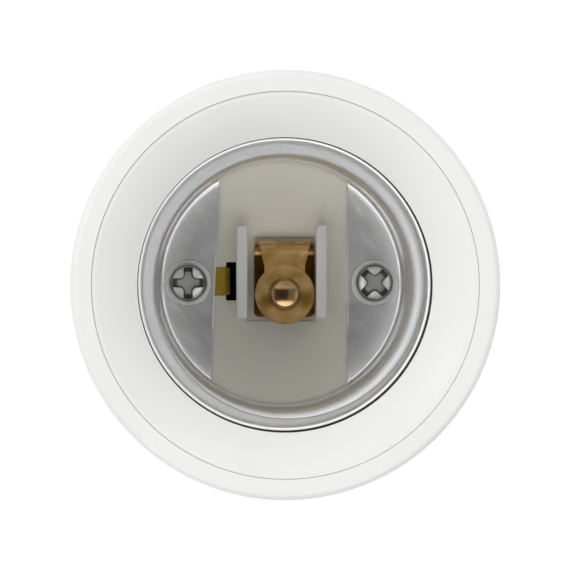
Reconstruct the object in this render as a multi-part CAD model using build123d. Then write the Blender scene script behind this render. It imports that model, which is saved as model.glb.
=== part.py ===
from build123d import *
import math
import os

# Lamp socket adapter: a medium screw base below, a large screw socket above.
# Millimetres, +Z up the axis and out of the socket's mouth.
# The origin is on the axis at the top of the base shell, where the casing's shoulder meets it.

# Large screw thread of the socket, measured inside the screw shell
socket_major_diameter = 39.7
socket_thread_depth = 1.75
socket_pitch = 6.35
socket_turns = 4.5
socket_start_angle = -115.0
shell_wall = 0.45
shell_lip_height = 3.0
shell_lip_round = 0.4
shell_heel_height = 5.0
shell_corner_radius = 0.8
segment_margin = 0.5
segment_slant = 2.6
window_margin = 0.1

# Medium screw thread of the base, measured outside the base shell
base_major_diameter = 26.2
base_thread_depth = 1.05
base_pitch = 3.62
base_turns = 4.5
base_wall = 0.3
base_skirt_height = 3.4
base_heel_height = 1.6
base_corner_radius = 0.6
base_heel_width = 1.55

# Both threads: sections of the loft in each turn, and the run-out in turns
sections_per_turn = 8
thread_runout = 0.6

# Base contact, insulator and solder
solder_height = 0.8
solder_diameter = 7.0
contact_disc_diameter = 10.0
contact_disc_thickness = 0.6
eyelet_wall = 0.8
eyelet_wire_gap = 0.2
eyelet_flare_width = 0.8
eyelet_flare_height = 0.6
insulator_nose_height = 3.6
insulator_tip_diameter = 12.4
insulator_disc_height = 3.2

# Outer casing
rim_band_width = 2.95
body_draft = 0.7
casing_ledge_width = 1.1
casing_ledge_drop = 1.0
rim_round = 1.0
neck_overhang = 2.1
neck_height = 2.0
neck_round = 0.6
bowl_height = 19.5
bowl_neck_pull = 3.5
bowl_body_pull = 17.0
bowl_wall = 3.0
hollow_drop = 0.75
hollow_body_ease = 1.5
hollow_neck_lift = 4.5
spigot_length = 9.0
spigot_wall = 2.3

# Socket insert
floor_above_shoulder = 20.0
floor_thickness = 3.5
sleeve_wall = 2.2
funnel_width = 6.25
funnel_depth = 3.3
funnel_bulge = 0.3
insert_edge_round = 0.6
insert_below_rim = 0.2
insert_rim_height = 3.6
insert_edge_land = 0.5
rib_thickness = 1.65
rib_length = 13.85
rib_height = 5.5
rib_gap = 0.125
rib_centre_y = 1.62
rib_corner_share = 0.4
rib_top_round = 0.3
pocket_depth = 0.4
pocket_margin = 0.6
pad_diameter = 10.6
pad_height = 0.3
boss_diameter = 6.6
boss_length = 6.0
slot_width = 1.5
slot_length = 5.7
slot_round = 0.2

# Shell screws
screw_wall_gap = 0.1
screw_head_diameter = 6.9
screw_head_height = 2.3
screw_flange_height = 0.5
screw_flange_width = 0.55
screw_flange_round = 0.25
screw_crown_diameter = 2.4
screw_diameter = 3.5
screw_length = 9.0
recess_span = 5.2
recess_floor_span = 3.2
recess_wing = 1.4
recess_corner = 0.6
recess_depth = 1.7
recess_draft = 9.0
screw_turn_left = 0.0
screw_turn_right = 45.0

# Brass strip from the shell's left segment to the base shell
lead_width = 4.0
lead_thickness = 0.5
lead_eye_diameter = 7.0
lead_bend = 0.75
lead_jog_drop = 0.5
lead_jog_height = 5.0
lead_neck_gap = 0.35
lead_hook_gap = 0.75
lead_foot_gap = 0.3
lead_y = 0.2
lead_side_gap = 0.2

# Centre contact: folded spring, button and rivet
contact_x = 0.45
contact_y = -1.65
spring_thickness = 0.5
spring_leaf_width = 8.9
spring_leaf_end = -5.1
spring_fold_y = 6.2
spring_fold_inside = 1.7
ramp_rise = 9.0
ramp_length = 3.2
pad_rise = 1.5
tongue_root_width = 7.9
tongue_width = 6.0
tongue_taper_length = 3.8
tongue_past_button = 2.6
leaf_corner_round = 0.8
button_flange_diameter = 8.8
button_flange_thickness = 0.6
button_flange_round = 0.2
button_cone_diameter = 4.9
button_cone_height = 1.3
button_nipple_diameter = 3.8
button_nipple_height = 1.1
button_nipple_round = 0.25
button_root_round = 0.5
button_crown = 0.25
button_shank_diameter = 3.0
button_tail_diameter = 4.4
button_tail_height = 0.5
rivet_diameter = 3.0
rivet_head_diameter = 5.2
rivet_head_height = 0.6

# Ring terminal and centre lead under the floor
terminal_diameter = 6.4
terminal_thickness = 0.5
terminal_tab_width = 3.0
terminal_tab_drop = 5.0
terminal_bend = 0.8
wire_diameter = 2.0
wire_bend = 6.0
wire_straight_top = 4.0
wire_straight_foot = 5.0

# Clearances
shell_gap = 0.2
fit_gap = 0.05
seat_gap = 0.1
radius_tolerance = 1e-6

# Levels and radii that follow from the sizes above
shoulder_z = 0.0
base_skirt_z = shoulder_z - base_skirt_height
base_thread_z = base_skirt_z - base_turns * base_pitch
base_z = base_thread_z - base_heel_height
nose_z = base_z - insulator_nose_height
disc_z = nose_z - contact_disc_thickness
solder_z = disc_z - solder_height
spigot_z = shoulder_z - spigot_length
bowl_z = shoulder_z + neck_height
body_z = bowl_z + bowl_height
floor_z = shoulder_z + floor_above_shoulder
under_floor_z = floor_z - floor_thickness
shell_z = floor_z + pad_height
socket_thread_z = shell_z + shell_heel_height
lip_z = socket_thread_z + socket_turns * socket_pitch
mouth_z = lip_z + shell_lip_height
rim_z = mouth_z + funnel_depth
leaf_z = floor_z - pocket_depth
fold_outside = spring_fold_inside + spring_thickness
fold_z = leaf_z + fold_outside
fold_y = spring_fold_y - fold_outside
socket_major = socket_major_diameter / 2
socket_minor = socket_major - socket_thread_depth
base_major = base_major_diameter / 2
base_minor = base_major - base_thread_depth
base_heel_radius = base_minor - base_wall - base_corner_radius
base_mouth = base_heel_radius - base_heel_width
eyelet_bore = wire_diameter / 2 + eyelet_wire_gap
eyelet_radius = eyelet_bore + eyelet_wall
spigot_radius = base_minor - base_wall - seat_gap
spigot_bore = spigot_radius - spigot_wall
skirt_seat_radius = base_major - base_wall - seat_gap
insert_bore = socket_major + shell_wall + shell_gap
sleeve_radius = insert_bore + sleeve_wall
insert_radius = insert_bore + funnel_width
casing_seat = insert_radius + fit_gap
rim_radius = casing_seat + rim_band_width
neck_radius = base_major + neck_overhang
insert_top_z = rim_z - insert_below_rim
insert_seat_z = insert_top_z - insert_rim_height
rib_inside = contact_x + max(spring_leaf_width, button_flange_diameter) / 2 + rib_gap
rib_middle = rib_inside + rib_thickness / 2
rib_outside = rib_inside + rib_thickness
screw_x = socket_minor - shell_corner_radius - screw_head_diameter / 2 - screw_wall_gap
segment_chord = screw_x - screw_head_diameter / 2 - segment_margin
slot_x = -rib_outside - slot_width / 2
lead_x = slot_x - slot_width / 2 + lead_thickness / 2 + seat_gap
pilot_radius = screw_diameter / 2 + fit_gap


def turned(*edges):
    """Solid turned about the axis from an outline of radius and height."""
    return revolve(Plane.XZ * make_face(Curve() + list(edges)), Axis.Z)


def disc(radius, low, high, x=0.0, y=0.0):
    """Upright cylinder between two heights."""
    return Pos(x, y, low) * extrude(Circle(radius), high - low)


def block(width, depth, low, high, x=0.0, y=0.0, corner=0.0):
    """Upright prism on a rectangle, with its corners rounded if asked."""
    plan = RectangleRounded(width, depth, corner) if corner else Rectangle(width, depth)
    return Pos(x, y, low) * extrude(plan, high - low)


def bent_strip(path, across, width, thickness):
    """Flat strip bent along a path, with its width set along one direction."""
    section = Plane(path @ 0, x_dir=across, z_dir=path % 0) * Rectangle(width, thickness)
    return sweep(section, path)


def circle_edges(solid, radius):
    """Circular edges of one radius."""
    edges = solid.edges().filter_by(GeomType.CIRCLE)
    return edges.filter_by(lambda edge: abs(edge.radius - radius) < radius_tolerance)


def ease(share):
    """Smooth step from 0 to 1."""
    share = min(1.0, max(0.0, share))
    return share * share * (3 - 2 * share)


def thread_core(minor, major, pitch, turns, low, start_angle):
    """Core of a rolled knuckle thread: a loft of circles whose centres climb a right-hand helix.

    It runs out to the minor radius below and to the major radius above.
    """
    high = low + turns * pitch
    runout = thread_runout * pitch
    sections = max(2, round(turns * sections_per_turn))
    circles = []
    for index in range(sections + 1):
        z = low + turns * pitch * index / sections
        strength = ease((z - low) / runout) * ease((high - z) / runout)
        plain = minor if z < (low + high) / 2 else major
        middle = (minor + major) / 2
        radius = plain + (middle - plain) * strength
        swing = (major - minor) / 2 * strength
        angle = math.radians(start_angle + 180) + 2 * math.pi * (z - high + runout / 2) / pitch
        centre = (swing * math.cos(angle), swing * math.sin(angle), z)
        circles.append(Wire.make_circle(radius, Plane(centre, x_dir=(1, 0, 0), z_dir=(0, 0, 1))))
    return Solid.make_loft(circles, True)


def cup_outline(radius, low, high, corner):
    """Outline of a plain cup's side and rounded heel, from the axis to the axis."""
    return [
        Line((0, high), (radius, high)),
        Line((radius, high), (radius, low + corner)),
        RadiusArc((radius, low + corner), (radius - corner, low), corner),
        Line((radius - corner, low), (0, low)),
        Line((0, low), (0, high)),
    ]


def rolled_shell(minor, major, wall, pitch, turns, start_angle, levels, corner):
    """Drawn shell with a closed heel, a rolled thread and a plain band on top.

    minor and major are inside radii, and levels are heel, thread, band and top.
    """
    heel, thread, band, top = levels
    outside = turned(*cup_outline(minor + wall, heel, thread, corner + wall))
    outside += thread_core(minor + wall, major + wall, pitch, turns, thread, start_angle)
    outside += disc(major + wall, band, top)
    inside = turned(*cup_outline(minor, heel + wall, thread, corner))
    inside += thread_core(minor, major, pitch, turns, thread, start_angle)
    inside += disc(major, band, top)
    return outside - inside


def make_screw_shell():
    """Aluminium socket shell: two bottom segments with screw holes, open between their chords."""
    levels = (shell_z, socket_thread_z, lip_z, mouth_z)
    shell = rolled_shell(
        socket_minor, socket_major, shell_wall, socket_pitch, socket_turns,
        socket_start_angle, levels, shell_corner_radius,
    )
    slant = socket_minor * math.tan(math.radians(segment_slant))
    chords = make_face(
        Polyline(
            (slant - segment_chord, socket_minor), (segment_chord, socket_minor),
            (segment_chord, -socket_minor), (-slant - segment_chord, -socket_minor),
            close=True,
        )
    )
    lip = circle_edges(shell, socket_major).sort_by(Axis.Z)[-1]
    shell = fillet(lip, shell_lip_round)
    heel_height = shell_wall + shell_corner_radius
    window = disc(socket_minor - window_margin, shell_z, shell_z + heel_height)
    shell -= window & Pos(0, 0, shell_z) * extrude(chords, heel_height)
    for side in (-1, 1):
        shell -= disc(pilot_radius, shell_z, shell_z + shell_wall, x=side * screw_x)
    return shell


def make_shell_screw(side, turn):
    """Flanged pan-head screw with a cross recess, seated on the shell's bottom segment."""
    seat = shell_z + shell_wall
    top = seat + screw_head_height
    flange_z = seat + screw_flange_height
    radius = screw_head_diameter / 2
    dome = radius - screw_flange_width
    crown = screw_crown_diameter / 2
    head = turned(
        Polyline((0, seat), (radius, seat), (radius, flange_z), (dome, flange_z)),
        Spline((dome, flange_z), (crown, top), tangents=((0, 1), (-1, 0))),
        Polyline((crown, top), (0, top), (0, seat)),
    )
    head = fillet(circle_edges(head, radius).sort_by(Axis.Z)[-1], screw_flange_round)
    cross = Rectangle(recess_span, recess_wing) + Rectangle(recess_wing, recess_span)
    inner = cross.vertices().sort_by(lambda corner: Vector(corner).length)[:4]
    cross = fillet(inner, recess_corner)
    wings = extrude(cross, recess_depth, dir=(0, 0, -1), taper=recess_draft)
    driver = Pos(0, 0, -recess_depth / 2) * Cone(recess_floor_span / 2, recess_span / 2, recess_depth)
    screw = head - Pos(0, 0, top) * (wings & driver)
    tip = screw_diameter / 2
    screw += disc(tip, seat - screw_length + tip, seat)
    screw += Pos(0, 0, seat - screw_length + tip / 2) * Cone(tip / 2, tip, tip)
    return Pos(side * screw_x, 0, 0) * Rot(Z=turn) * screw


def make_casing():
    """White goblet: spigot for the base shell, neck, bowl, body and rim."""
    hollow_radius = casing_seat - casing_ledge_width
    ledge_z = insert_seat_z - fit_gap
    spigot_top = bowl_z - bowl_wall
    foot = rim_radius - body_draft
    shell_step_z = base_skirt_z + seat_gap
    hollow_z = body_z - hollow_drop
    profile = [
        Polyline(
            (spigot_bore, spigot_z), (spigot_radius, spigot_z), (spigot_radius, shell_step_z),
            (skirt_seat_radius, shell_step_z), (skirt_seat_radius, shoulder_z + fit_gap),
            (neck_radius, shoulder_z + fit_gap), (neck_radius, bowl_z),
        ),
        Bezier(
            (neck_radius, bowl_z), (neck_radius, bowl_z + bowl_neck_pull),
            (foot, body_z - bowl_body_pull), (foot, body_z),
        ),
        Polyline(
            (foot, body_z), (rim_radius, rim_z), (casing_seat, rim_z), (casing_seat, ledge_z),
            (hollow_radius, ledge_z - casing_ledge_drop), (hollow_radius, hollow_z),
        ),
        Bezier(
            (hollow_radius, hollow_z), (hollow_radius, hollow_z - bowl_body_pull + hollow_body_ease),
            (spigot_bore, spigot_top + bowl_neck_pull + hollow_neck_lift), (spigot_bore, spigot_top),
        ),
        Line((spigot_bore, spigot_top), (spigot_bore, spigot_z)),
    ]
    casing = turned(*profile)
    casing = fillet(circle_edges(casing, rim_radius), rim_round)
    neck_foot = circle_edges(casing, neck_radius).sort_by(Axis.Z)[0]
    casing = fillet(neck_foot, neck_round)
    groove = spigot_radius - lead_thickness - 2 * seat_gap
    casing -= block(
        spigot_radius, lead_width + 2 * lead_side_gap, spigot_z, shell_step_z,
        x=-groove - spigot_radius / 2, y=lead_y,
    )
    return casing


def make_insert():
    """White socket insert: funnel, sleeve, floor with ribs, pads, pocket, slot and screw bosses."""
    edge = insert_radius - insert_edge_land
    funnel_mid_r = (edge + insert_bore) / 2
    funnel_mid_z = (insert_top_z + mouth_z) / 2 + funnel_bulge
    ledge_slope = casing_ledge_drop / casing_ledge_width
    sleeve_top_z = insert_seat_z - ledge_slope * (insert_radius - sleeve_radius)
    insert = turned(
        Polyline(
            (0, under_floor_z), (sleeve_radius, under_floor_z),
            (sleeve_radius, sleeve_top_z),
            (insert_radius, insert_seat_z), (insert_radius, insert_top_z), (edge, insert_top_z),
        ),
        ThreePointArc((edge, insert_top_z), (funnel_mid_r, funnel_mid_z), (insert_bore, mouth_z)),
        Polyline((insert_bore, mouth_z), (insert_bore, floor_z), (0, floor_z), (0, under_floor_z)),
    )
    insert = fillet(circle_edges(insert, edge), insert_edge_round)
    for side in (-1, 1):
        x = side * screw_x
        insert += disc(pad_diameter / 2, floor_z, shell_z, x=x)
        insert += disc(boss_diameter / 2, under_floor_z - boss_length, under_floor_z, x=x)
        rib = block(
            rib_thickness, rib_length, leaf_z, floor_z + rib_height,
            x=side * rib_middle, y=rib_centre_y, corner=rib_thickness * rib_corner_share,
        )
        insert += fillet(rib.edges().group_by(Axis.Z)[-1], rib_top_round)
    pocket_low = spring_leaf_end - pocket_margin
    pocket_high = spring_fold_y + pocket_margin
    insert -= block(
        2 * rib_inside, pocket_high - pocket_low, leaf_z, floor_z,
        y=(pocket_high + pocket_low) / 2,
    )
    insert -= disc(lead_eye_diameter / 2 + seat_gap, shell_z - lead_thickness, shell_z, x=-screw_x)
    insert -= block(
        slot_x + screw_x, lead_width + 2 * seat_gap, shell_z - lead_thickness, shell_z,
        x=(slot_x - screw_x) / 2, y=lead_y,
    )
    insert -= block(
        slot_width, slot_length, under_floor_z, floor_z, x=slot_x, y=lead_y, corner=slot_round
    )
    slot_edge = make_face(
        Polyline((0, 0), (-lead_bend, 0), (0, -lead_bend), close=True)
    )
    relief = extrude(Plane.XZ * slot_edge, (lead_width + 2 * seat_gap) / 2, both=True)
    insert -= Pos(slot_x - slot_width / 2, lead_y, shell_z - lead_thickness) * relief
    for side in (-1, 1):
        insert -= disc(
            pilot_radius, under_floor_z - boss_length, shell_z, x=side * screw_x
        )
    insert -= disc(rivet_diameter / 2 + fit_gap, under_floor_z, floor_z, x=contact_x, y=contact_y)
    return insert


def make_shell_lead():
    """Brass strip: eye clamped under the left segment, down through the slot, hooked round the spigot."""
    flat_z = shell_z - lead_thickness / 2
    jog_z = under_floor_z - boss_length - lead_jog_drop
    edge_y = lead_width / 2 + abs(lead_y)
    neck_x = lead_thickness / 2 - math.sqrt((spigot_bore - lead_neck_gap) ** 2 - edge_y ** 2)
    hook_x = lead_thickness / 2 + seat_gap - spigot_radius
    hook_z = spigot_z - lead_thickness / 2 - lead_foot_gap
    corners = [
        (-screw_x, flat_z), (lead_x, flat_z), (lead_x, jog_z), (neck_x, jog_z - lead_jog_height),
        (neck_x, hook_z), (hook_x, hook_z), (hook_x, base_skirt_z - lead_hook_gap),
    ]
    path = FilletPolyline(*[(x, lead_y, z) for x, z in corners], radius=lead_bend)
    lead = bent_strip(path, (0, 1, 0), lead_width, lead_thickness)
    lead += disc(lead_eye_diameter / 2, shell_z - lead_thickness, shell_z, x=-screw_x)
    return lead - disc(pilot_radius, shell_z - lead_thickness, shell_z, x=-screw_x)


def climbing(rise):
    """Direction of a strip that climbs from the fold towards the button, in the plane of Y and Z."""
    return Vector(-math.cos(math.radians(rise)), math.sin(math.radians(rise)))


def upright(rise):
    """Direction square to a climbing strip."""
    return Vector(math.sin(math.radians(rise)), math.cos(math.radians(rise)))


def ramp_end():
    """Upper side of the knee where the ramp from the fold meets the button's pad."""
    return Vector(fold_y, fold_z) + upright(ramp_rise) * fold_outside + climbing(ramp_rise) * ramp_length


def make_contact_spring():
    """Copper-alloy strip folded in a C: wide leaf on the floor, tapered ramp, pad for the button."""
    centre = Vector(fold_y, fold_z)
    low_in = Vector(fold_y, fold_z - spring_fold_inside)
    low_out = Vector(fold_y, leaf_z)
    high_in = centre + upright(ramp_rise) * spring_fold_inside
    high_out = centre + upright(ramp_rise) * fold_outside
    knee_out = ramp_end()
    knee_depth = spring_thickness / math.cos(math.radians(ramp_rise - pad_rise) / 2)
    knee_in = knee_out - upright((ramp_rise + pad_rise) / 2) * knee_depth
    tongue_end = contact_y - tongue_past_button
    end_out = knee_out + climbing(pad_rise) * (knee_out.X - tongue_end)
    end_in = end_out - upright(pad_rise) * spring_thickness
    strip = Curve() + [
        Line((spring_leaf_end, leaf_z), low_out),
        ThreePointArc(low_out, centre + Vector(fold_outside, 0), high_out),
        Polyline(high_out, knee_out, end_out, end_in, knee_in, high_in),
        ThreePointArc(high_in, centre + Vector(spring_fold_inside, 0), low_in),
        Polyline(low_in, (spring_leaf_end, low_in.Y), (spring_leaf_end, leaf_z)),
    ]
    spring = extrude(Plane.YZ * make_face(strip), spring_leaf_width / 2, both=True)
    taper_y = spring_fold_y - tongue_taper_length
    plan_end = tongue_end - spring_thickness
    tongue_plan = make_face(
        Polyline(
            (-tongue_root_width / 2, spring_fold_y), (tongue_root_width / 2, spring_fold_y),
            (tongue_width / 2, taper_y), (tongue_width / 2, plan_end),
            (-tongue_width / 2, plan_end), (-tongue_width / 2, taper_y),
            close=True,
        )
    )
    leaf_length = spring_fold_y - spring_leaf_end
    leaf_plan = block(
        spring_leaf_width, leaf_length, leaf_z, fold_z,
        y=spring_fold_y - leaf_length / 2, corner=leaf_corner_round,
    )
    tongue_room = Pos(0, 0, fold_z) * extrude(tongue_plan, end_out.Y + spring_thickness - fold_z)
    spring = Pos(contact_x, 0, 0) * (spring & (leaf_plan + tongue_room))
    spring -= disc(rivet_diameter / 2 + fit_gap, leaf_z, fold_z, x=contact_x, y=contact_y)
    hole = disc(button_shank_diameter / 2 + fit_gap, -fold_outside, fold_outside)
    return spring - button_seat() * hole


def button_seat():
    """Place on top of the pad where the button's flange sits."""
    knee = ramp_end()
    seat = knee + climbing(pad_rise) * ((knee.X - contact_y) / math.cos(math.radians(pad_rise)))
    return Pos(contact_x, seat.X, seat.Y) * Rot(X=-pad_rise)


def make_contact_button():
    """Turned centre contact: flange, cone and crowned nipple, riveted through the tongue."""
    flange = button_flange_diameter / 2
    cone = button_cone_diameter / 2
    nipple = button_nipple_diameter / 2
    shank = button_shank_diameter / 2
    tail = button_tail_diameter / 2
    cone_z = button_flange_thickness + button_cone_height
    tip_z = cone_z + button_nipple_height
    tail_z = -spring_thickness - fit_gap
    crown = (nipple ** 2 + button_crown ** 2) / (2 * button_crown)
    button = turned(
        Polyline(
            (0, tail_z - button_tail_height), (tail, tail_z - button_tail_height),
            (tail, tail_z), (shank, tail_z), (shank, 0), (flange, 0),
            (flange, button_flange_thickness), (cone, cone_z), (nipple, tip_z),
        ),
        RadiusArc((nipple, tip_z), (0, tip_z + button_crown), -crown),
        Line((0, tip_z + button_crown), (0, tail_z - button_tail_height)),
    )
    button = fillet(circle_edges(button, nipple), button_nipple_round)
    button = fillet(circle_edges(button, cone), button_root_round)
    button = fillet(circle_edges(button, flange).sort_by(Axis.Z)[-1], button_flange_round)
    return button_seat() * Pos(0, 0, fit_gap) * button


def make_spring_rivet():
    """Rivet through the spring's lower leaf, the floor and the ring terminal."""
    head_z = leaf_z + spring_thickness
    tail_z = under_floor_z - terminal_thickness
    rivet = disc(rivet_diameter / 2, tail_z, head_z)
    for low in (head_z, tail_z - rivet_head_height):
        rivet += disc(rivet_head_diameter / 2, low, low + rivet_head_height)
    return Pos(contact_x, contact_y, 0) * rivet


def terminal_tab_y():
    """Middle of the terminal's turned-down tab."""
    return contact_y - terminal_diameter / 2 - terminal_bend


def make_lead_terminal():
    """Ring terminal under the floor, with a tab turned down for the centre lead."""
    mid_z = under_floor_z - terminal_thickness / 2
    path = FilletPolyline(
        (0, contact_y, mid_z), (0, terminal_tab_y(), mid_z),
        (0, terminal_tab_y(), mid_z - terminal_tab_drop),
        radius=terminal_bend,
    )
    tab = bent_strip(path, (1, 0, 0), terminal_tab_width, terminal_thickness)
    ring = disc(terminal_diameter / 2, under_floor_z - terminal_thickness, under_floor_z, y=contact_y)
    hole = disc(
        rivet_diameter / 2 + fit_gap, under_floor_z - terminal_thickness, under_floor_z, y=contact_y
    )
    return Pos(contact_x, 0, 0) * (ring + tab - hole)


def make_centre_lead():
    """Wire from the terminal's tab down the neck into the eyelet."""
    top_y = terminal_tab_y() + terminal_thickness / 2 + wire_diameter / 2
    top_z = under_floor_z - terminal_thickness - rivet_head_height - wire_diameter / 2
    foot_z = base_z + insulator_disc_height + wire_straight_foot
    points = [
        Vector(contact_x, top_y, top_z), Vector(contact_x, top_y, top_z - wire_straight_top),
        Vector(0, 0, foot_z), Vector(0, 0, disc_z),
    ]
    path = FilletPolyline(*points, radius=wire_bend)
    section = Plane(points[0], z_dir=(0, 0, -1)) * Circle(wire_diameter / 2)
    return sweep(section, path)


def make_base_shell():
    """Screw base shell with a rolled thread, open at its heel for the insulator."""
    minor = base_minor - base_wall
    major = base_major - base_wall
    levels = (base_z, base_thread_z, base_skirt_z, shoulder_z)
    shell = rolled_shell(
        minor, major, base_wall, base_pitch, base_turns, 0.0, levels, base_corner_radius
    )
    return shell - disc(base_mouth, base_z, base_z + base_wall)


def make_base_insulator():
    """Insulator: a disc inside the base shell and a tapered nose below it."""
    seat = base_z + base_wall
    top = base_z + base_wall + insulator_disc_height
    mouth = base_mouth - fit_gap
    body = turned(
        Polyline(
            (0, nose_z), (insulator_tip_diameter / 2, nose_z), (mouth, base_z), (mouth, seat),
            (base_heel_radius, seat), (base_heel_radius, top), (0, top),
            close=True,
        )
    )
    return body - disc(eyelet_radius + fit_gap, nose_z, top)


def make_base_contact():
    """Brass eyelet: disc below the insulator, stem through it, flared over its top."""
    top = base_z + base_wall + insulator_disc_height
    contact = disc(contact_disc_diameter / 2, disc_z, nose_z)
    contact += disc(eyelet_radius, nose_z, top)
    contact += disc(eyelet_radius + eyelet_flare_width, top, top + eyelet_flare_height)
    return contact - disc(eyelet_bore, disc_z, top + eyelet_flare_height)


def make_tip_solder():
    """Solder dome under the contact disc."""
    radius = solder_diameter / 2
    ball = (radius ** 2 + solder_height ** 2) / (2 * solder_height)
    return Pos(0, 0, solder_z + ball) * Sphere(ball) & disc(radius, solder_z, disc_z)


nodes = {
    "casing": make_casing(),
    "socket_insert": make_insert(),
    "screw_shell": make_screw_shell(),
    "shell_screw_left": make_shell_screw(-1, screw_turn_left),
    "shell_screw_right": make_shell_screw(1, screw_turn_right),
    "shell_lead": make_shell_lead(),
    "contact_spring": make_contact_spring(),
    "contact_button": make_contact_button(),
    "spring_rivet": make_spring_rivet(),
    "lead_terminal": make_lead_terminal(),
    "centre_lead": make_centre_lead(),
    "base_shell": make_base_shell(),
    "base_insulator": make_base_insulator(),
    "base_contact": make_base_contact(),
    "tip_solder": make_tip_solder(),
}

os.makedirs("parts", exist_ok=True)
for name, solid in nodes.items():
    export_step(solid, f"parts/{name}.step")
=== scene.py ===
import math

import bpy
import numpy as np
from bpy.props import FloatProperty, FloatVectorProperty, IntProperty, PointerProperty
from mathutils import Matrix, Vector


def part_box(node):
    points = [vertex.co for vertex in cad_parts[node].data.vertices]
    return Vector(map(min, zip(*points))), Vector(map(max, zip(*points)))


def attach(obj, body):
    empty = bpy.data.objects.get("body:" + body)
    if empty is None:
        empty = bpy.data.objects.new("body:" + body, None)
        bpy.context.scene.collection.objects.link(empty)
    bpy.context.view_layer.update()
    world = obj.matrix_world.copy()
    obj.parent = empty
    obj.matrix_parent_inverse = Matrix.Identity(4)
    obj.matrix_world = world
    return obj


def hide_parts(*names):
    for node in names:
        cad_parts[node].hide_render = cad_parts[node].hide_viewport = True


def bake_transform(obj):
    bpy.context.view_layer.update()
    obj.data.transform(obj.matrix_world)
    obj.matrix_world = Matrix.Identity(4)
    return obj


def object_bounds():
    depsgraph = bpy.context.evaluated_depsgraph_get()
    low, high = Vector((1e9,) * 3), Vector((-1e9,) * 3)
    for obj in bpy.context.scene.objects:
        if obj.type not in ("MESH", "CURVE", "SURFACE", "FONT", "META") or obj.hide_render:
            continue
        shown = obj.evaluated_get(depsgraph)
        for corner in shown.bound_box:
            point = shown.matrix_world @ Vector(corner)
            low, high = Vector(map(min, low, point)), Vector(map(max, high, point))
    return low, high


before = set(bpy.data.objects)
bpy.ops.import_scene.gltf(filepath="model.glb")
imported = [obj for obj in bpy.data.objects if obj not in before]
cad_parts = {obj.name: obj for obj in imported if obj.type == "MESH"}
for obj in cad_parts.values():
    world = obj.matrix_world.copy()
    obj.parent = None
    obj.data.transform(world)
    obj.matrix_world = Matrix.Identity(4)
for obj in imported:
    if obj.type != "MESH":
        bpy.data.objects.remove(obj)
cad_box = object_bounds()
shell_low, shell_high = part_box("screw_shell")
base_low, base_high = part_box("base_shell")
strip_low, strip_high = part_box("contact_spring")
screw_low, screw_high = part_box("shell_screw_right")

bl_info = {
    "name": "Lamp socket adapter",
    "version": (1, 0, 0),
    "blender": (4, 5, 0),
    "location": "3D View > Sidebar > Adapter",
    "description": "Dresses a lamp socket adapter: rolled shells, contact, finishes and a white stage",
    "category": "Object",
}

MM = 0.001
FULL_TURN = 2 * math.pi
QUARTER_TURN = math.pi / 2

# Faces that meet at a larger angle keep a crisp edge.
SHARP_ANGLE = math.radians(40)

# Share of a punched edge's rounding at its start, middle and end.
PUNCHED_ROUND = np.array([0.0, 0.3, 1.0])

# Least slope by which the distance to a segment's straight edge is divided.
LEAST_SLOPE = 1e-3

# Painted shade on the button's lower left and right flanks, in a dark olive: place from its middle along X
# and Y, and radius.
FLANK_SHADE_PATCHES = (
    (-2.6 * MM, -1.0 * MM, 1.5 * MM),
    (3.1 * MM, -0.8 * MM, 1.8 * MM),
)

# Upward part of a direction between which the tent brightens, and between which its front panel begins.
TENT_RISE = (0.25, 0.58)
PANEL_RISE = (0.76, 0.86)

# Half width and half depth of the tent's opening, its soft edge, and where its open side begins along X.
OPENING_WIDTH = 0.42
OPENING_DEPTH = 0.25
OPENING_EDGE = (0.92, 1.08)
OPEN_SIDE_START = (0.1, 0.18)
LEAST_TENT = 0.1

SENSOR_WIDTH = 36.0
CLIP_START = 0.01
CLIP_END = 20.0

# Sockets of a mix node that take and give colours.
MIX_COLOURS = (6, 7)
MIX_RESULT = 2


def length(name, description, default):
    """A size in metres that a user can change."""
    return FloatProperty(name=name, description=description, default=default, unit="LENGTH", precision=5)


def turn(name, description, degrees):
    """An angle that a user can change."""
    return FloatProperty(
        name=name, description=description, default=math.radians(degrees), subtype="ANGLE"
    )


def share(name, description, default):
    """A plain number that a user can change."""
    return FloatProperty(name=name, description=description, default=default)


def count(name, description, default):
    """A number of steps that a user can change."""
    return IntProperty(name=name, description=description, default=default, min=3)


def colour(name, description, default):
    """A linear colour that a user can change."""
    return FloatVectorProperty(
        name=name, description=description, default=default, subtype="COLOR", size=3, min=0, max=1
    )


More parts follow.
